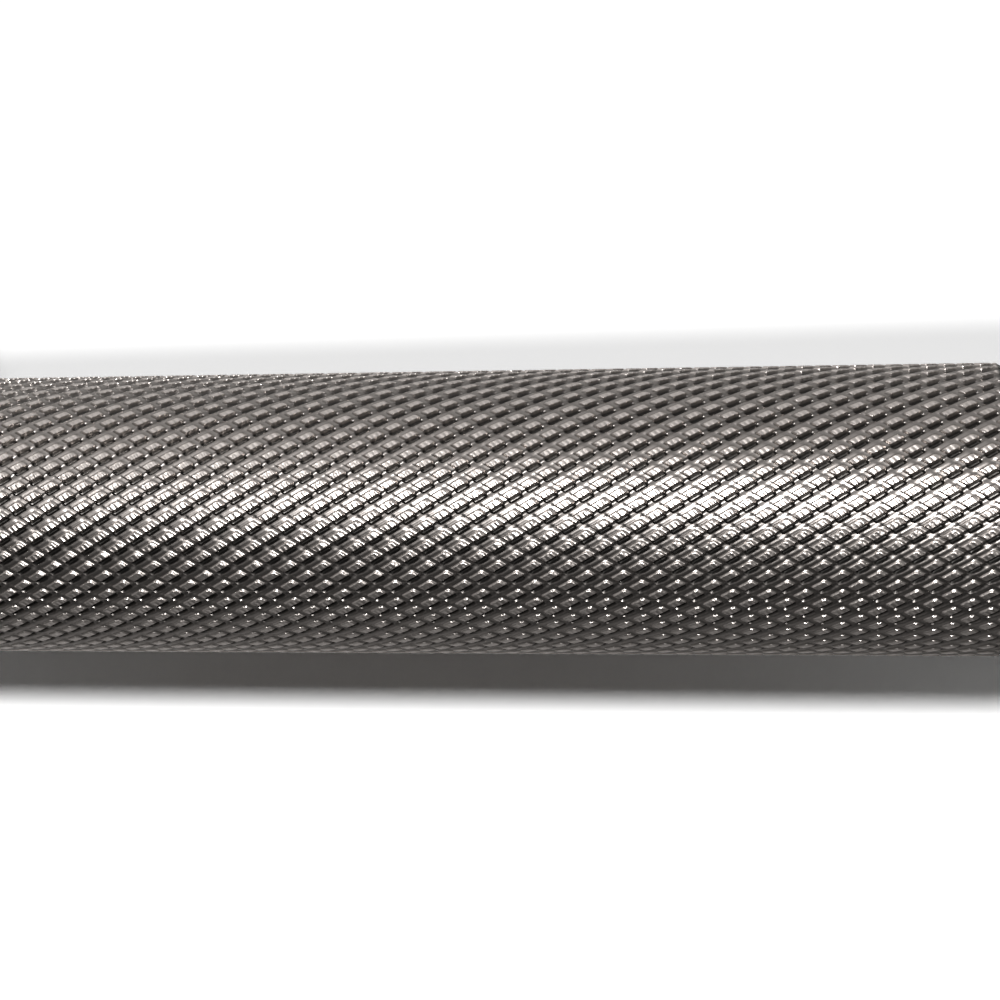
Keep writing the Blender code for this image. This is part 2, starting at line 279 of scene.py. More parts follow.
def knurl_tree():
    tree, given, keys = open_tree("knurl", KNURL_SIZES, KNURL_COUNTS)
    grid, row, turn, rim = lattice(tree, given)
    do = partial(calculate, tree)
    angle = do("MULTIPLY", do("DIVIDE", turn, given["Starts"]), 2 * math.pi)
    x = do("MULTIPLY", do("SUBTRACT", do("MULTIPLY", do("DIVIDE", row, given["All Rows"]), 2), 1),
           given["Half Length"])

    def on_bar(radius):
        y = do("MULTIPLY", do("MULTIPLY", do("COSINE", angle), radius), -1)
        z = do("MULTIPLY", do("SINE", angle), radius)
        return add_node(tree, "ShaderNodeCombineXYZ", {"X": x, "Y": y, "Z": z}).outputs[0]

    noise = add_node(tree, "ShaderNodeTexNoise", {
        "Vector": on_bar(given["Tip Radius"]), "Scale": BURR_GRAIN, "Detail": 1.0}).outputs[0]
    burr = do("MULTIPLY", do("ABSOLUTE", do("SUBTRACT", noise, 0.5)), given["Burr"])
    cut = do("ADD", cut_depth(tree, given, row, turn), burr)
    full = fade(tree, do("SUBTRACT", given["Half Length"], do("ABSOLUTE", x)), 0.0, given["Run Out"])
    radius = blend(tree, "FLOAT", full, given["Land Radius"], do("SUBTRACT", given["Tip Radius"], cut))
    radius = do("MULTIPLY", radius, do("SUBTRACT", 1, rim))
    deepest = do("ADD", given["Groove Depth"], given["Scale Height"])
    top = do("MULTIPLY", do("SUBTRACT", 1, do("DIVIDE", cut, deepest)), full)
    place = add_node(tree, "ShaderNodeCombineXYZ", {"X": row, "Y": turn, "Z": top}).outputs[0]
    counted = add_node(tree, "GeometryNodeStoreNamedAttribute", {
        "Geometry": grid, "Name": "lattice", "Value": place}, data_type="FLOAT_VECTOR", domain="CORNER")
    placed = add_node(tree, "GeometryNodeSetPosition", {
        "Geometry": counted.outputs[0], "Position": on_bar(radius)})
    merged = add_node(tree, "GeometryNodeMergeByDistance", {"Geometry": placed.outputs[0], "Distance": 2e-6})
    cut_up = add_node(tree, "GeometryNodeTriangulate", {0: merged.outputs[0]})
    smooth = add_node(tree, "GeometryNodeSetShadeSmooth", {0: cut_up.outputs[0]})
    bend = add_node(tree, "GeometryNodeInputMeshEdgeAngle").outputs["Unsigned Angle"]
    crisp = add_node(tree, "GeometryNodeStoreNamedAttribute", {
        "Geometry": smooth.outputs[0], "Name": "sharp_edge",
        "Value": do("GREATER_THAN", bend, math.radians(30))}, data_type="BOOLEAN", domain="EDGE")
    real = add_node(tree, "GeometryNodeRealizeInstances", {0: crisp.outputs[0]})
    dressed = add_node(tree, "GeometryNodeSetMaterial", {
        "Geometry": real.outputs[0], "Material": bpy.data.materials["knurled chrome"]})
    tree.links.new(dressed.outputs[0], add_node(tree, "NodeGroupOutput").inputs[0])
    return tree, keys


deepest_cut = KNURL_SIZES["Groove Depth"] + KNURL_SIZES["Scale Height"]
print(f"the grooves are {deepest_cut / MM:.2f} mm deep under the tips")

# %% [markdown]
# ## Knurled chrome
# The plating is bright, but pressed steel is not smooth. The raised tops are crinkled, with fine ribs
# across them and a small dent near the upper corner. The rails beside them are smoother, and their darker
# grey is partly their own duller finish and partly painted shade. The near black of the groove bottoms is
# painted shade in the recesses. All this is too fine for the mesh, so it goes into colour, gloss and bump,
# counted on the same lattice so that it stays with its diamond.

# %% Knurled chrome
RIBS_PER_ROW = 5.2
RIBS_PER_START = 117 / KNURL_STARTS
DENT_PLACE = (0.42, 0.70)  # across the rising grooves and along them, as fractions of a diamond
CRINKLE_GRAIN = 2300.0  # features in a metre
DENT_DEPTH = 0.06  # this and the next two in millimetres
RIB_HEIGHT = 0.020
CRINKLE_HEIGHT = 0.055
# Painted shade: the groove bottoms, and less so the rails, are coloured darker than the tops for the shade
# in the recesses.
GROOVE_SHADE_COLOUR = (0.10, 0.095, 0.09, 1)
RAIL_COLOUR = (0.36, 0.33, 0.31, 1)
TOP_COLOURS = ((0.70, 0.64, 0.60, 1), (0.83, 0.76, 0.715, 1))


def knurled_chrome():
    material = bpy.data.materials.new("knurled chrome")
    material.use_nodes = True
    tree = material.node_tree
    shader = tree.nodes["Principled BSDF"]
    shader.inputs["Metallic"].default_value = 1
    do = partial(calculate, tree)
    place = add_node(tree, "ShaderNodeTexCoord").outputs["Object"]
    counted = add_node(tree, "ShaderNodeAttribute", attribute_name="lattice").outputs["Vector"]
    counted = add_node(tree, "ShaderNodeSeparateXYZ", {0: counted}).outputs
    row, turn = counted["X"], counted["Y"]
    top = fade(tree, counted["Z"], 0.62, 0.90)
    across = do("FRACT", do("SUBTRACT", row, turn))
    along = do("FRACT", do("ADD", row, turn))
    dent = do("SQRT", do("ADD", do("POWER", do("SUBTRACT", across, DENT_PLACE[0]), 2),
                         do("POWER", do("SUBTRACT", along, DENT_PLACE[1]), 2)))
    dent = fade(tree, dent, 0.11, 0.02)
    ribs = do("ADD", do("MULTIPLY", row, RIBS_PER_ROW), do("MULTIPLY", turn, RIBS_PER_START))
    ribs = do("SINE", do("MULTIPLY", ribs, 2 * math.pi))
    ribs = do("MULTIPLY", ribs, fade(tree, across, 0.45, 0.65))
    crinkle = add_node(tree, "ShaderNodeTexNoise", {
        "Vector": place, "Scale": CRINKLE_GRAIN, "Detail": 2.0}).outputs[0]
    height = do("ADD", do("MULTIPLY", dent, -DENT_DEPTH), do("MULTIPLY", ribs, RIB_HEIGHT))
    height = do("ADD", height, do("MULTIPLY", crinkle, CRINKLE_HEIGHT))
    height = do("MULTIPLY", height, top)
    bump = add_node(tree, "ShaderNodeBump", {"Strength": 1.0, "Distance": MM, "Height": height})
    tree.links.new(bump.outputs[0], shader.inputs["Normal"])
    worn = fade(tree, crinkle, 0.3, 0.7)
    # Painted shade: the colour darkens from the tops down to the groove bottoms.
    raised = fade(tree, counted["Z"], 0.10, 0.66)
    colour = blend(tree, "RGBA", worn, *TOP_COLOURS)
    colour = blend(tree, "RGBA", top, RAIL_COLOUR, colour)
    colour = blend(tree, "RGBA", raised, GROOVE_SHADE_COLOUR, colour)
    tree.links.new(colour, shader.inputs["Base Color"])
    rough = blend(tree, "FLOAT", top, 0.33, do("MULTIPLY_ADD", worn, -0.08, 0.39))
    rough = blend(tree, "FLOAT", raised, 0.36, rough)
    tree.links.new(rough, shader.inputs["Roughness"])
    return material


print(knurled_chrome().name)

# %% [markdown]
# ## Rolling the knurl onto the bar
# The whole knurl would be one very heavy mesh. It is made in slices of whole rows that meet edge to edge,
# and each slice is closed to the axis like a disc cut from the bar.

# %% Make the slices
def knurl_slice(name, first, rows, tree, keys):
    carrier = bpy.data.objects.new(name, bpy.data.meshes.new(name))
    bpy.context.scene.collection.objects.link(carrier)
    nodes = carrier.modifiers.new("knurl", "NODES")
    nodes.node_group = tree
    for key, value in {**KNURL_SIZES, **KNURL_COUNTS, "First Row": first, "Rows": rows}.items():
        nodes[keys[key]] = value
    mesh = bpy.data.meshes.new_from_object(carrier.evaluated_get(bpy.context.evaluated_depsgraph_get()))
    carrier.modifiers.remove(nodes)
    carrier.data = mesh
    mesh.name = name
    return carrier


def join_bar(piece, slot, body, *nodes):
    """Gives a finished piece its body, and lets it stand for the solids that it replaces. The slot is not
    used.
    """
    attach(piece, body)
    if nodes:
        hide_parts(*nodes)
    print(f"{piece.name}: {len(piece.data.polygons)} faces on {body}")


tree, keys = knurl_tree()
first = 0
for count, rows in enumerate(SLICE_ROWS, 1):
    piece = knurl_slice(f"knurl_slice_{count}", first, rows, tree, keys)
    join_bar(piece, "knurled_chrome", "shaft", *(["knurled_shaft"] if count == SLICE_FOR_THE_SOLID else []))
    first += rows

# %% [markdown]
# ## Turned parts
# Everything else on this bar comes off a lathe. A turned part is its section swept round the axis, so
# each one below is a short list of corners: the place along the bar, the radius, and how far the corner
# is eased. No real edge is perfectly sharp, and the small round on each corner is what catches the light.

# %% Turn a section
TURNED_STEPS = 144
SHARP_ANGLE = math.radians(28)
ON_THE_AXIS = 1e-7


def eased(corners, closed, steps=4):
    """The section's points with every corner rounded by its third number."""
    points = []
    for i, (x, radius, ease) in enumerate(corners):
        corner = Vector((x, radius))
        if not ease or (not closed and i in (0, len(corners) - 1)):
            points.append(corner)
            continue
        start, end = (
            corner + (Vector(corners[(i + n) % len(corners)][:2]) - corner).normalized() * ease
            for n in (-1, 1)
        )
        for step in range(steps + 1):
            t = step / steps
            points.append((1 - t) ** 2 * start + 2 * t * (1 - t) * corner + t**2 * end)
    return points


def turned_mesh(name, corners, closed=True, steps=TURNED_STEPS):
    points = eased(corners, closed)
    mesh = bmesh.new()
    rings = []
    for x, radius in points:
        if radius < ON_THE_AXIS:
            rings.append([mesh.verts.new((x, 0, 0))] * steps)
            continue
        angles = (2 * math.pi * k / steps for k in range(steps))
        rings.append([mesh.verts.new((x, radius * math.cos(a), radius * math.sin(a))) for a in angles])
    count = len(rings) if closed else len(rings) - 1
    for i in range(count):
        near, far = rings[i], rings[(i + 1) % len(rings)]
        for k in range(steps):
            n = (k + 1) % steps
            mesh.faces.new(dict.fromkeys((near[k], near[n], far[n], far[k])))
    bmesh.ops.recalc_face_normals(mesh, faces=mesh.faces)
    data = bpy.data.meshes.new(name)
    mesh.to_mesh(data)
    mesh.free()
    return data


def new_piece(name, mesh, material, left=False):
    """An object at the origin. The left end is the right end turned half round about Z."""
    if left:
        mesh.transform(Matrix.Rotation(math.pi, 4, "Z"))
    mesh.materials.clear()
    mesh.materials.append(material)
    mesh.shade_smooth()
    mesh.set_sharp_from_angle(angle=SHARP_ANGLE)
    piece = bpy.data.objects.new(name, mesh)
    bpy.context.scene.collection.objects.link(piece)
    return piece


def baked(piece):
    """Turns an object with its modifiers into a plain mesh."""
    mesh = bpy.data.meshes.new_from_object(piece.evaluated_get(bpy.context.evaluated_depsgraph_get()))
    bpy.data.objects.remove(piece)
    return mesh


print("a turned part has", TURNED_STEPS, "steps round")

# %% [markdown]
# ## Finishes
# Plated steel, bronze, oiled spring steel and rubber differ in colour and gloss, but each shows the marks
# of how it was made. A lathe or a polishing belt leaves lines round the part, faces carry rings, and use
# adds scratches along it and faint smears. One helper stretches a noise along the wanted direction,
# because that is what a mark of a tool is: grain that is fine across and long along.

# %% Finish helper
def grain(tree, stretch, scale=1.0, detail=2.0):
    """Noise on the object's own coordinates, stretched by a factor along each axis."""
    place = add_node(tree, "ShaderNodeTexCoord").outputs["Object"]
    stretched = add_node(tree, "ShaderNodeVectorMath", {0: place, 1: stretch}, operation="MULTIPLY")
    return add_node(tree, "ShaderNodeTexNoise", {
        "Vector": stretched.outputs[0], "Scale": scale, "Detail": detail}).outputs[0]


def rings(tree, scale):
    """Noise that depends on the distance from the shaft's axis, as the rings of a faced surface do."""
    place = add_node(tree, "ShaderNodeTexCoord").outputs["Object"]
    flat = add_node(tree, "ShaderNodeVectorMath", {0: place, 1: (0, 1, 1)}, operation="MULTIPLY").outputs[0]
    radius = add_node(tree, "ShaderNodeVectorMath", {0: flat}, operation="LENGTH").outputs["Value"]
    return add_node(tree, "ShaderNodeTexNoise", {
        "W": radius, "Scale": scale, "Detail": 3.0}, noise_dimensions="1D").outputs[0]


def finish(name, metallic, tones, gloss, marks, bump):
    """A material from two tones, two roughnesses and two patterns.

    The first pattern drives the roughness and the relief, and the second the colour.
    """
    material = bpy.data.materials.new(name)
    material.use_nodes = True
    tree = material.node_tree
    shader = tree.nodes["Principled BSDF"]
    shader.inputs["Metallic"].default_value = metallic
    fine, broad = marks(tree)
    colour = blend(tree, "RGBA", fade(tree, broad, 0.35, 0.65), (*tones[0], 1), (*tones[1], 1))
    tree.links.new(colour, shader.inputs["Base Color"])
    rough = blend(tree, "FLOAT", fade(tree, fine, 0.3, 0.75), gloss[0], gloss[1])
    tree.links.new(rough, shader.inputs["Roughness"])
    relief = add_node(tree, "ShaderNodeBump", {"Strength": 1.0, "Distance": bump, "Height": fine})
    tree.links.new(relief.outputs[0], shader.inputs["Normal"])
    return material


print("finish helper ready")

# %% [markdown]
# The sleeve is ground and plated, and plates drawn along it leave long fine scratches. The collar and the
# cap are faced on the lathe. Bushings are sintered bronze with open pores, washers are ground, pins and
# rings are spring steel with a black oiled skin, and the seal is moulded rubber.

# %% Make the finishes
def sleeve_marks(tree):
    scratches = grain(tree, (40, 1400, 1400))
    ground = grain(tree, (9000, 60, 60))
    both = calculate(tree, "MULTIPLY_ADD", scratches, 0.6, calculate(tree, "MULTIPLY", ground, 0.4))
    return both, grain(tree, (1, 1, 1), 45.0, 3.0)


def faced_marks(tree):
    turned = calculate(tree, "MULTIPLY_ADD", rings(tree, 2600.0), 0.6,
                       calculate(tree, "MULTIPLY", grain(tree, (6000, 60, 60)), 0.4))
    return turned, grain(tree, (1, 1, 1), 70.0, 3.0)


def pored_marks(tree):
    return grain(tree, (1, 1, 1), 2200.0, 4.0), grain(tree, (1, 1, 1), 180.0, 3.0)


def moulded_marks(tree):
    return grain(tree, (1, 1, 1), 5000.0, 2.0), grain(tree, (1, 1, 1), 320.0, 2.0)


SHAFT_CHROME = finish(
    "shaft chrome", 1, ((0.56, 0.55, 0.54), (0.62, 0.61, 0.60)), (0.14, 0.28), faced_marks, 0.005 * MM)
SLEEVE_CHROME = finish(
    "sleeve chrome", 1, ((0.60, 0.60, 0.60), (0.66, 0.66, 0.65)), (0.10, 0.26), sleeve_marks, 0.004 * MM)
COLLAR_CHROME = finish(
    "collar chrome", 1, ((0.58, 0.58, 0.57), (0.65, 0.65, 0.64)), (0.09, 0.22), faced_marks, 0.004 * MM)
CAP_CHROME = finish(
    "cap chrome", 1, ((0.56, 0.56, 0.56), (0.64, 0.64, 0.63)), (0.12, 0.26), faced_marks, 0.006 * MM)
BRONZE = finish(
    "bearing bronze", 1, ((0.45, 0.28, 0.13), (0.62, 0.42, 0.22)), (0.28, 0.50), pored_marks, 0.02 * MM)
WASHER_STEEL = finish(
    "washer steel", 1, ((0.42, 0.42, 0.41), (0.52, 0.52, 0.51)), (0.25, 0.42), faced_marks, 0.005 * MM)
SPRING_STEEL = finish(
    "spring steel", 1, ((0.09, 0.09, 0.10), (0.17, 0.17, 0.18)), (0.30, 0.50), pored_marks, 0.006 * MM)
RUBBER = finish(
    "seal rubber", 0, ((0.014, 0.014, 0.014), (0.028, 0.028, 0.027)), (0.55, 0.80), moulded_marks, 0.01 * MM)
print("finishes:", len(bpy.data.materials))

# %% [markdown]
# ## The ends of the shaft
# Beyond the knurl a short smooth land runs into the collar and ends in a shoulder. The journal behind it
# carries the bushings, and a groove near its end takes the snap ring. These are hidden once the bar is
# assembled, but the land shows, and so does the journal through the gaps.

# %% Turn the shaft's ends
SHOULDER = 76.0 * MM
JOURNAL_RADIUS = 12.47 * MM
SNAP_GROOVE = (206.8 * MM, 208.9 * MM)
SNAP_GROOVE_RADIUS = 11.3 * MM
SHAFT_CHAMFER = 1 * MM
SHAFT_CORNERS = [
    (KNURL_END, 0, 0),
    (KNURL_END, LAND_RADIUS, 0),
    (SHOULDER, LAND_RADIUS, 0.3 * MM),
    (SHOULDER, JOURNAL_RADIUS, 0.2 * MM),
    (SNAP_GROOVE[0], JOURNAL_RADIUS, 0.1 * MM),
    (SNAP_GROOVE[0], SNAP_GROOVE_RADIUS, 0.1 * MM),
    (SNAP_GROOVE[1], SNAP_GROOVE_RADIUS, 0.1 * MM),
    (SNAP_GROOVE[1], JOURNAL_RADIUS, 0.1 * MM),
    (SHAFT_END - SHAFT_CHAMFER, JOURNAL_RADIUS, 0.3 * MM),
    (SHAFT_END, JOURNAL_RADIUS - SHAFT_CHAMFER, 0.3 * MM),
    (SHAFT_END, 0, 0),
]
for side in ("left", "right"):
    mesh = turned_mesh(f"{side}_shaft_end", SHAFT_CORNERS, closed=False)
    piece = new_piece(f"{side}_shaft_end", mesh, SHAFT_CHROME, side == "left")
    join_bar(piece, "knurled_chrome", "shaft")

# %% [markdown]
# ## Sleeves and collars
# The sleeve is a tube with a chamfered outer end, and its bore opens into a seat and a groove for the end
# cap. The collar is a ring pressed over its inner end, and a pin goes through both. The pin's hole is
# drilled from above, as on the real part, by a Boolean with a cutter that flares where a countersink
# would.

# %% Turn the sleeves and collars
SLEEVE_CHAMFER = 1.5 * MM
BORE_RADIUS = 16 * MM
CAP_SEAT = 216.6 * MM
CAP_SEAT_RADIUS = 18.5 * MM
CAP_GROOVE = (220.9 * MM, 222.7 * MM)
CAP_GROOVE_RADIUS = 19.6 * MM
COLLAR_BORE = 25.28 * MM
PIN_PLACE = (COLLAR_START + COLLAR_END) / 2
PIN_HOLE_RADIUS = 2.75 * MM
SLEEVE_CORNERS = [
    (SLEEVE_END, SLEEVE_RADIUS - SLEEVE_CHAMFER, 0.3 * MM),
    (SLEEVE_END - SLEEVE_CHAMFER, SLEEVE_RADIUS, 0.3 * MM),
    (COLLAR_START, SLEEVE_RADIUS, 0.2 * MM),
    (COLLAR_START, BORE_RADIUS, 0.3 * MM),
    (CAP_SEAT, BORE_RADIUS, 0.1 * MM),
    (CAP_SEAT, CAP_SEAT_RADIUS, 0),
    (CAP_GROOVE[0], CAP_SEAT_RADIUS, 0.05 * MM),
    (CAP_GROOVE[0], CAP_GROOVE_RADIUS, 0.05 * MM),
    (CAP_GROOVE[1], CAP_GROOVE_RADIUS, 0.05 * MM),
    (CAP_GROOVE[1], CAP_SEAT_RADIUS, 0.05 * MM),
    (SLEEVE_END, CAP_SEAT_RADIUS, 0.25 * MM),
]
COLLAR_CORNERS = [
    (COLLAR_END, COLLAR_RADIUS, 2 * MM),
    (COLLAR_START, COLLAR_RADIUS, 2 * MM),
    (COLLAR_START, COLLAR_BORE, 0.3 * MM),
    (COLLAR_END, COLLAR_BORE, 0.3 * MM),
]


def drill(piece):
    """Drills the pin's hole from above, with a small countersink at the collar's skin."""
    flare = 0.35 * MM
    corners = [
        (BORE_RADIUS - 1 * MM, 0, 0),
        (BORE_RADIUS - 1 * MM, PIN_HOLE_RADIUS, 0),
        (COLLAR_RADIUS - flare, PIN_HOLE_RADIUS, 0),
        (COLLAR_RADIUS + flare, PIN_HOLE_RADIUS + 2 * flare, 0),
        (COLLAR_RADIUS + flare, 0, 0),
    ]
    mesh = turned_mesh("drill", corners, closed=False, steps=48)
    mesh.transform(Matrix.Translation((PIN_PLACE, 0, 0)) @ Matrix.Rotation(-math.pi / 2, 4, "Y"))
    cutter = bpy.data.objects.new("drill", mesh)
    bpy.context.scene.collection.objects.link(cutter)
    hole = piece.modifiers.new("hole", "BOOLEAN")
    hole.object = cutter
    hole.operation = "DIFFERENCE"
    hole.solver = "EXACT"
    mesh = baked(piece)
    bpy.data.objects.remove(cutter)
    return mesh


for side in ("left", "right"):
    for part, corners, material, slot in (
        ("sleeve", SLEEVE_CORNERS, SLEEVE_CHROME, "sleeve_chrome"),
        ("collar", COLLAR_CORNERS, COLLAR_CHROME, "collar_chrome"),
    ):
        blank = new_piece("blank", turned_mesh("blank", corners), material)
        name = f"{side}_fine_{part}"
        piece = new_piece(name, drill(blank), material, side == "left")
        join_bar(piece, slot, f"{side}_sleeve_group", f"{side}_{part}")

# %% [markdown]
# ## Caps and seals
# The end cap is a dished disc: its rim stands proud, so that a tool can lift it out and its face is not
# scratched. The wiper seal closes the gap round the shaft at the grip, and its thin lip is what keeps
# chalk and sweat out of the bearing. Both are turned, like the sleeves.

# %% Turn the caps and seals
CAP_DISH = 0.8 * MM
CAP_RIM = 3 * MM
SEAL_RADIUS = 15.6 * MM
SEAL_LIP_RADIUS = 14.0 * MM
SEAL_LIP = 0.7 * MM
SEAL_BORE = 14.7 * MM
CAP_CORNERS = [
    (CAP_END - CAP_DISH, 0, 0),
    (CAP_END - CAP_DISH, CAP_RADIUS - CAP_RIM - CAP_DISH, 0.5 * MM),
    (CAP_END, CAP_RADIUS - CAP_RIM, 0.4 * MM),
    (CAP_END, CAP_RADIUS, 0.3 * MM),
    (CAP_START, CAP_RADIUS, 0.3 * MM),
    (CAP_START, 0, 0),
]
SEAL_CORNERS = [
    (SEAL_END, SEAL_RADIUS, 0.2 * MM),
    (SEAL_START, SEAL_RADIUS, 0.3 * MM),
    (SEAL_START, SEAL_LIP_RADIUS, 0.2 * MM),
    (SEAL_START + SEAL_LIP, SEAL_LIP_RADIUS, 0.2 * MM),
    (SEAL_START + 2 * SEAL_LIP, SEAL_BORE, 0.3 * MM),
    (SEAL_END, SEAL_BORE, 0.2 * MM),
]
for side in ("left", "right"):
    mesh = turned_mesh("cap", CAP_CORNERS, closed=False)
    piece = new_piece(f"{side}_fine_cap", mesh, CAP_CHROME, side == "left")
    join_bar(piece, "cap_chrome", f"{side}_sleeve_group", f"{side}_end_cap")
    mesh = turned_mesh("seal", SEAL_CORNERS)
    piece = new_piece(f"{side}_fine_seal", mesh, RUBBER, side == "left")
    join_bar(piece, "seal_rubber", f"{side}_sleeve_group", f"{side}_wiper_seal")

# %% [markdown]
# ## Pins and rings
# The pin is a rolled tube with a slot along it, which springs open in its hole and so needs no thread.
# The open ring holds the end cap in its seat, and its two eyes take the tips of the pliers. Both have a
# constant section, so each is an outline given a thickness, and a Bevel takes the sharpness off.

# %% Cut the pins and rings
PIN_RADIUS = 2.5 * MM
PIN_WALL = 1 * MM
PIN_SLOT = math.radians(50)
PIN_BOTTOM, PIN_TOP = (corner.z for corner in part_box("right_collar_pin"))
RING_RADIUS = 19.28 * MM
RING_WIDTH = 2.2 * MM
EAR_REACH = 1.6 * MM
EAR_WIDTH = 3.6 * MM
EAR_HOLE = 0.75 * MM


def arc(radius, first, last, step=math.radians(3)):
    count = max(1, math.ceil(abs(last - first) / step))
    angles = [first + (last - first) * i / count for i in range(count + 1)]
    return [Vector((radius * math.cos(a), radius * math.sin(a))) for a in angles]


def plate(name, outlines, thickness, bevel):
    """A flat plate on the XY plane: the first outline is its rim and the others are holes."""
    curve = bpy.data.curves.new(name, "CURVE")
    curve.dimensions = "2D"
    curve.fill_mode = "BOTH"
    curve.extrude = thickness / 2
    for outline in outlines:
        spline = curve.splines.new("POLY")
        spline.points.add(len(outline) - 1)
        for point, place in zip(spline.points, outline):
            point.co = (*place, 0, 1)
        spline.use_cyclic_u = True
    flat = bpy.data.objects.new(name, curve)
    bpy.context.scene.collection.objects.link(flat)
    solid = bpy.data.objects.new(name, baked(flat))
    bpy.context.scene.collection.objects.link(solid)
    mesh = bmesh.new()
    mesh.from_mesh(solid.data)
    bmesh.ops.remove_doubles(mesh, verts=mesh.verts, dist=1e-6)
    bmesh.ops.recalc_face_normals(mesh, faces=mesh.faces)
    mesh.to_mesh(solid.data)
    mesh.free()
    easing = solid.modifiers.new("easing", "BEVEL")
    easing.width = bevel
    easing.segments = 2
    easing.limit_method = "ANGLE"
    easing.angle_limit = math.radians(50)
    return baked(solid)


def pin_mesh():
    slot = PIN_SLOT / 2
    rim = arc(PIN_RADIUS, slot, 2 * math.pi - slot, math.radians(10))
    rim += arc(PIN_RADIUS - PIN_WALL, 2 * math.pi - slot, slot, math.radians(10))
    mesh = plate("pin", [rim], PIN_TOP - PIN_BOTTOM, 0.2 * MM)
    mesh.transform(Matrix.Translation((PIN_PLACE, 0, (PIN_TOP + PIN_BOTTOM) / 2)))
    return mesh


def ring_mesh():
    inner = RING_RADIUS - RING_WIDTH
    tip = inner - EAR_REACH
    middle = (RING_RADIUS + tip) / 2
    turn = EAR_WIDTH / middle
    gap = turn / 3
    foot = gap + 1.3 * turn
    full = 2 * math.pi
    rim = arc(tip, gap, gap + turn)
    rim += arc(inner, foot, full - foot)
    rim += arc(tip, full - gap - turn, full - gap)
    rim += arc(RING_RADIUS, full - gap, gap)
    holes = []
    for side in (1, -1):
        centre = arc(middle, side * (gap + turn / 2), 0)[0]
        holes.append([centre + point for point in arc(EAR_HOLE, 0, full, math.radians(20))[:-1]])
    mesh = plate("ring", [rim, *holes], RING_END - RING_START, 0.12 * MM)
    place = Matrix.Translation(((RING_START + RING_END) / 2, 0, 0))
    mesh.transform(place @ Matrix.Rotation(math.pi / 2, 4, "Y"))
    return mesh


for side in ("left", "right"):
    piece = new_piece(f"{side}_fine_pin", pin_mesh(), SPRING_STEEL, side == "left")
    join_bar(piece, "spring_steel", f"{side}_sleeve_group", f"{side}_collar_pin")
    piece = new_piece(f"{side}_fine_cap_ring", ring_mesh(), SPRING_STEEL, side == "left")
    join_bar(piece, "spring_steel", f"{side}_sleeve_group", f"{side}_end_cap_ring")

# %% [markdown]
# ## Parts that keep their solids
# Bushings, washers and the shaft's snap rings sit inside the sleeves, where nobody looks. Their solids
# already have the right shape, so they only get a proper finish.

# %% Dress the hidden parts
for node, material in (
    ("inner_bushing", BRONZE),
    ("outer_bushing", BRONZE),
    ("inner_thrust_washer", WASHER_STEEL),
    ("outer_thrust_washer", WASHER_STEEL),
    ("shaft_snap_ring", SPRING_STEEL),
):
    for side in ("left", "right"):
        solid = bpy.data.objects[f"{side}_{node}"]
        solid.data.materials.clear()
        solid.data.materials.append(material)
    print(node, "has", material.name)

# %% [markdown]
# ## The floor
# The floor is plain white paper that catches the shadow. Polished metal shows its surroundings, so what
# the metal sees of the floor matters as much as the metal. That is painted as a reflection: dark in front,
# lighter under the bar, and lighter on the left than on the right. A faint wide shade is painted on the
# paper behind the grip, as a second soft light low in front would throw it. Far from the bar the paper
# runs out into the white background.

# %% Lay the floor
FLOOR_SIZE = 8
NEAR_FLOOR = 350 * MM
FAR_FLOOR = 750 * MM
PAPER_SEEN = 2.0  # bright enough for plain white under this lamp
PAPER_LIT = 0.8  # what the paper throws back onto the bar
# Painted reflection: the floor's tones as only the metal sees them, dark in front, lighter near and under
# the bar, brighter on the left.
FRONT_TONE = 0.035
NEAR_TONE = 0.25
UNDER_TONE = 0.40
LEFT_GAIN = 1.45  # the metal sees the left of the floor brighter
GAIN_DROP = 0.8
# Painted shade on the paper behind the grip, seen only by the camera.
PAINTED_SHADE_DEPTH = 0.78
SHADE_SLANT = 0.022
SHADE_EDGE = (86 * MM, 76.5 * MM)
SHADE_ENDS = (75.5 * MM, 68 * MM)  # it runs out where the collars' own shadows begin


def painted_floor_reflection(tree, place):
    """Painted reflection: how bright the metal sees the floor, dark in front, paler near the bar and under
    it, and brighter on the left.
    """
    do = partial(calculate, tree)
    seen = do("MULTIPLY_ADD", fade(tree, place["Y"], -110 * MM, -5 * MM), NEAR_TONE, FRONT_TONE)
    under_bar = do("MULTIPLY", fade(tree, place["Y"], -10 * MM, 12 * MM), UNDER_TONE)
    seen = do("ADD", seen, under_bar)
    gain = do("MULTIPLY_ADD", fade(tree, place["X"], -120 * MM, 140 * MM), -GAIN_DROP, LEFT_GAIN)
    return do("MULTIPLY", seen, gain)


def paper_with_painted_shade(tree, place):
    """White paper with a faint wide shade painted behind the grip."""
    do = partial(calculate, tree)
    edge = do("MULTIPLY_ADD", place["X"], -SHADE_SLANT, place["Y"])
    behind = do("MULTIPLY", fade(tree, edge, *SHADE_EDGE), fade(tree, place["Y"], 25 * MM, 40 * MM))
    beside = fade(tree, do("ABSOLUTE", place["X"]), *SHADE_ENDS)
    return do("MULTIPLY_ADD", do("MULTIPLY", behind, beside), -PAINTED_SHADE_DEPTH, PAPER_SEEN)


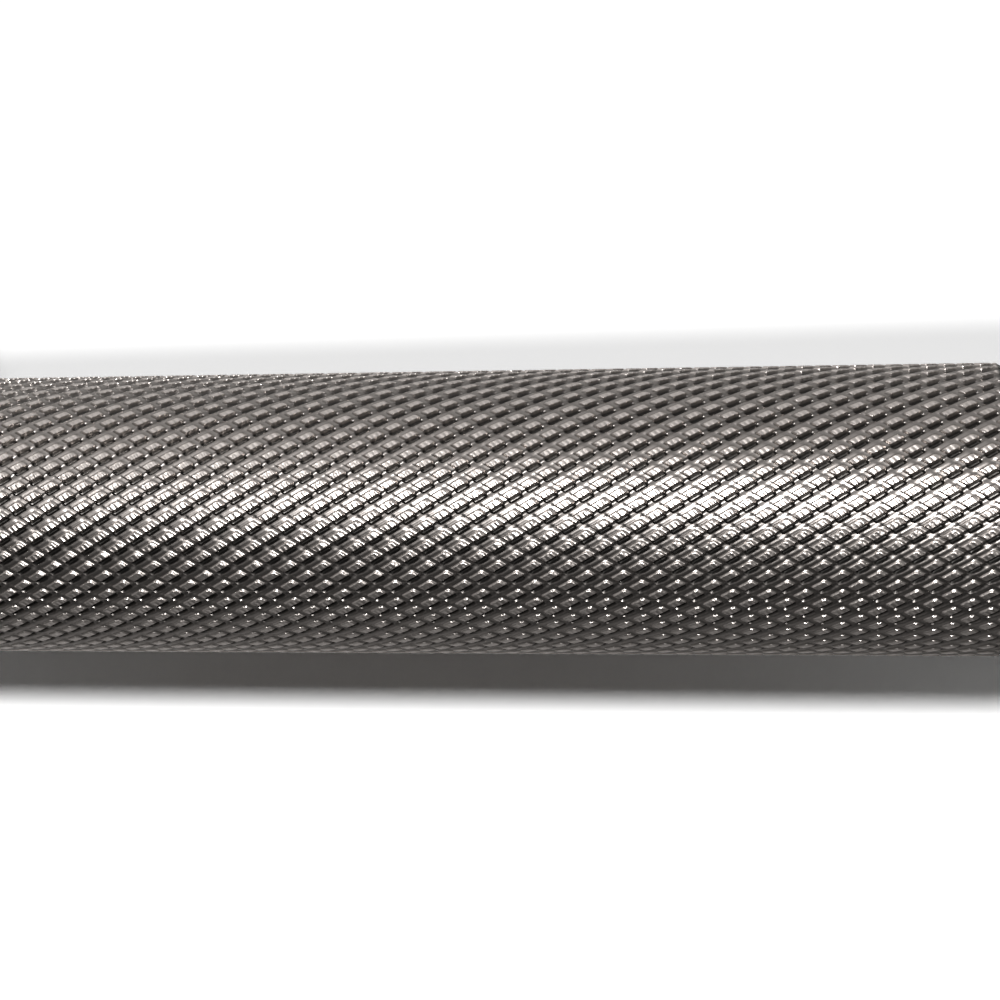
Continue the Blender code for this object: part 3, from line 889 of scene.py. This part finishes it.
def floor_paper():
    material = bpy.data.materials.new("white paper")
    material.use_nodes = True
    tree = material.node_tree
    tree.nodes.remove(tree.nodes["Principled BSDF"])
    ray = add_node(tree, "ShaderNodeLightPath").outputs
    whole = add_node(tree, "ShaderNodeTexCoord").outputs["Object"]
    place = add_node(tree, "ShaderNodeSeparateXYZ", {0: whole}).outputs
    tone = blend(tree, "FLOAT", ray["Is Camera Ray"], PAPER_LIT, paper_with_painted_shade(tree, place))
    tone = blend(tree, "FLOAT", ray["Is Glossy Ray"], tone, painted_floor_reflection(tree, place))
    colour = add_node(tree, "ShaderNodeCombineColor", {0: tone, 1: tone, 2: tone})
    paper = add_node(tree, "ShaderNodeBsdfDiffuse", {"Color": colour.outputs[0]})
    away = add_node(tree, "ShaderNodeVectorMath", {0: whole}, operation="LENGTH").outputs["Value"]
    far = calculate(tree, "MULTIPLY", fade(tree, away, NEAR_FLOOR, FAR_FLOOR), ray["Is Camera Ray"])
    white = add_node(tree, "ShaderNodeEmission", {"Strength": 1.0})
    both = add_node(tree, "ShaderNodeMixShader", {0: far, 1: paper.outputs[0], 2: white.outputs[0]})
    tree.links.new(both.outputs[0], tree.nodes["Material Output"].inputs["Surface"])
    return material


bpy.ops.mesh.primitive_plane_add(size=FLOOR_SIZE, location=(0, 0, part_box("right_collar")[0].z))
floor = bpy.context.object
floor.name = "floor"
floor.data.materials.append(floor_paper())
print("the floor lies", round(-floor.location.z / MM, 1), "mm under the axis")

# %% [markdown]
# ## The room
# The metal sees a dark room in front, a grey wall behind and pale walls at the sides. That is what makes
# the lower edge of each diamond dark and its top grey. A patch of ceiling on the left glows softly, so
# the bright band along the grip starts higher and broader at that end.

# %% Paint the room
DARK_FRONT = 0.025
BACK_WALL = 0.48
SIDE_WALLS = 0.35
CEILING_GLOW = 0.8
GLOW_AT = (-0.36, -0.20, 0.91)  # a direction, up and to the left
AIR_LIGHT = 0.005

world = bpy.data.worlds.new("studio")
bpy.context.scene.world = world
world.use_nodes = True
tree = world.node_tree
do = partial(calculate, tree)
ray = add_node(tree, "ShaderNodeLightPath").outputs
direction = add_node(tree, "ShaderNodeTexCoord").outputs["Generated"]
from_glow = add_node(tree, "ShaderNodeVectorMath", {0: direction, 1: GLOW_AT}, operation="DISTANCE")
glow = fade(tree, from_glow.outputs["Value"], 0.55, 0.12)
direction = add_node(tree, "ShaderNodeSeparateXYZ", {0: direction}).outputs
right, back = direction["X"], direction["Y"]
seen = do("MULTIPLY_ADD", fade(tree, back, -0.35, 0.35), BACK_WALL, DARK_FRONT)
seen = do("MULTIPLY", seen, do("MULTIPLY_ADD", right, -0.3, 1.0))
walls = fade(tree, do("ABSOLUTE", right), 0.78, 0.95)
seen = do("MULTIPLY_ADD", walls, SIDE_WALLS, seen)
seen = do("MULTIPLY_ADD", glow, CEILING_GLOW, seen)
level = blend(tree, "FLOAT", ray["Is Glossy Ray"], AIR_LIGHT, seen)
level = blend(tree, "FLOAT", ray["Is Camera Ray"], level, 1.0)
tree.links.new(level, tree.nodes["Background"].inputs["Strength"])
tree.nodes["Background"].inputs["Color"].default_value = (1, 1, 1, 1)
print("the metal sees tones from", DARK_FRONT, "to", BACK_WALL + SIDE_WALLS)

# %% [markdown]
# ## The lamp
# One round lamp stands above the camera. It gives the bright band along the grip and the shadow below it,
# and because it is small the shadow has a clear edge.

# %% Hang the lamp
LAMP_HEIGHT = math.radians(53.4)
LAMP_SIDE = -0.02
LAMP_DISTANCE = 1.2
LAMP_SIZE = 0.15
LAMP_POWER = 13

lamp = bpy.data.lights.new("key", "AREA")
lamp.shape = "DISK"
lamp.size = LAMP_SIZE
lamp.energy = LAMP_POWER
key = bpy.data.objects.new("key", lamp)
bpy.context.scene.collection.objects.link(key)
towards = Vector((LAMP_SIDE, -math.cos(LAMP_HEIGHT), math.sin(LAMP_HEIGHT))).normalized()
key.location = towards * LAMP_DISTANCE
key.rotation_euler = towards.to_track_quat("Z", "Y").to_euler()
bpy.context.scene.view_settings.view_transform = "Standard"
print("lamp", round(LAMP_DISTANCE / MM), "mm away")
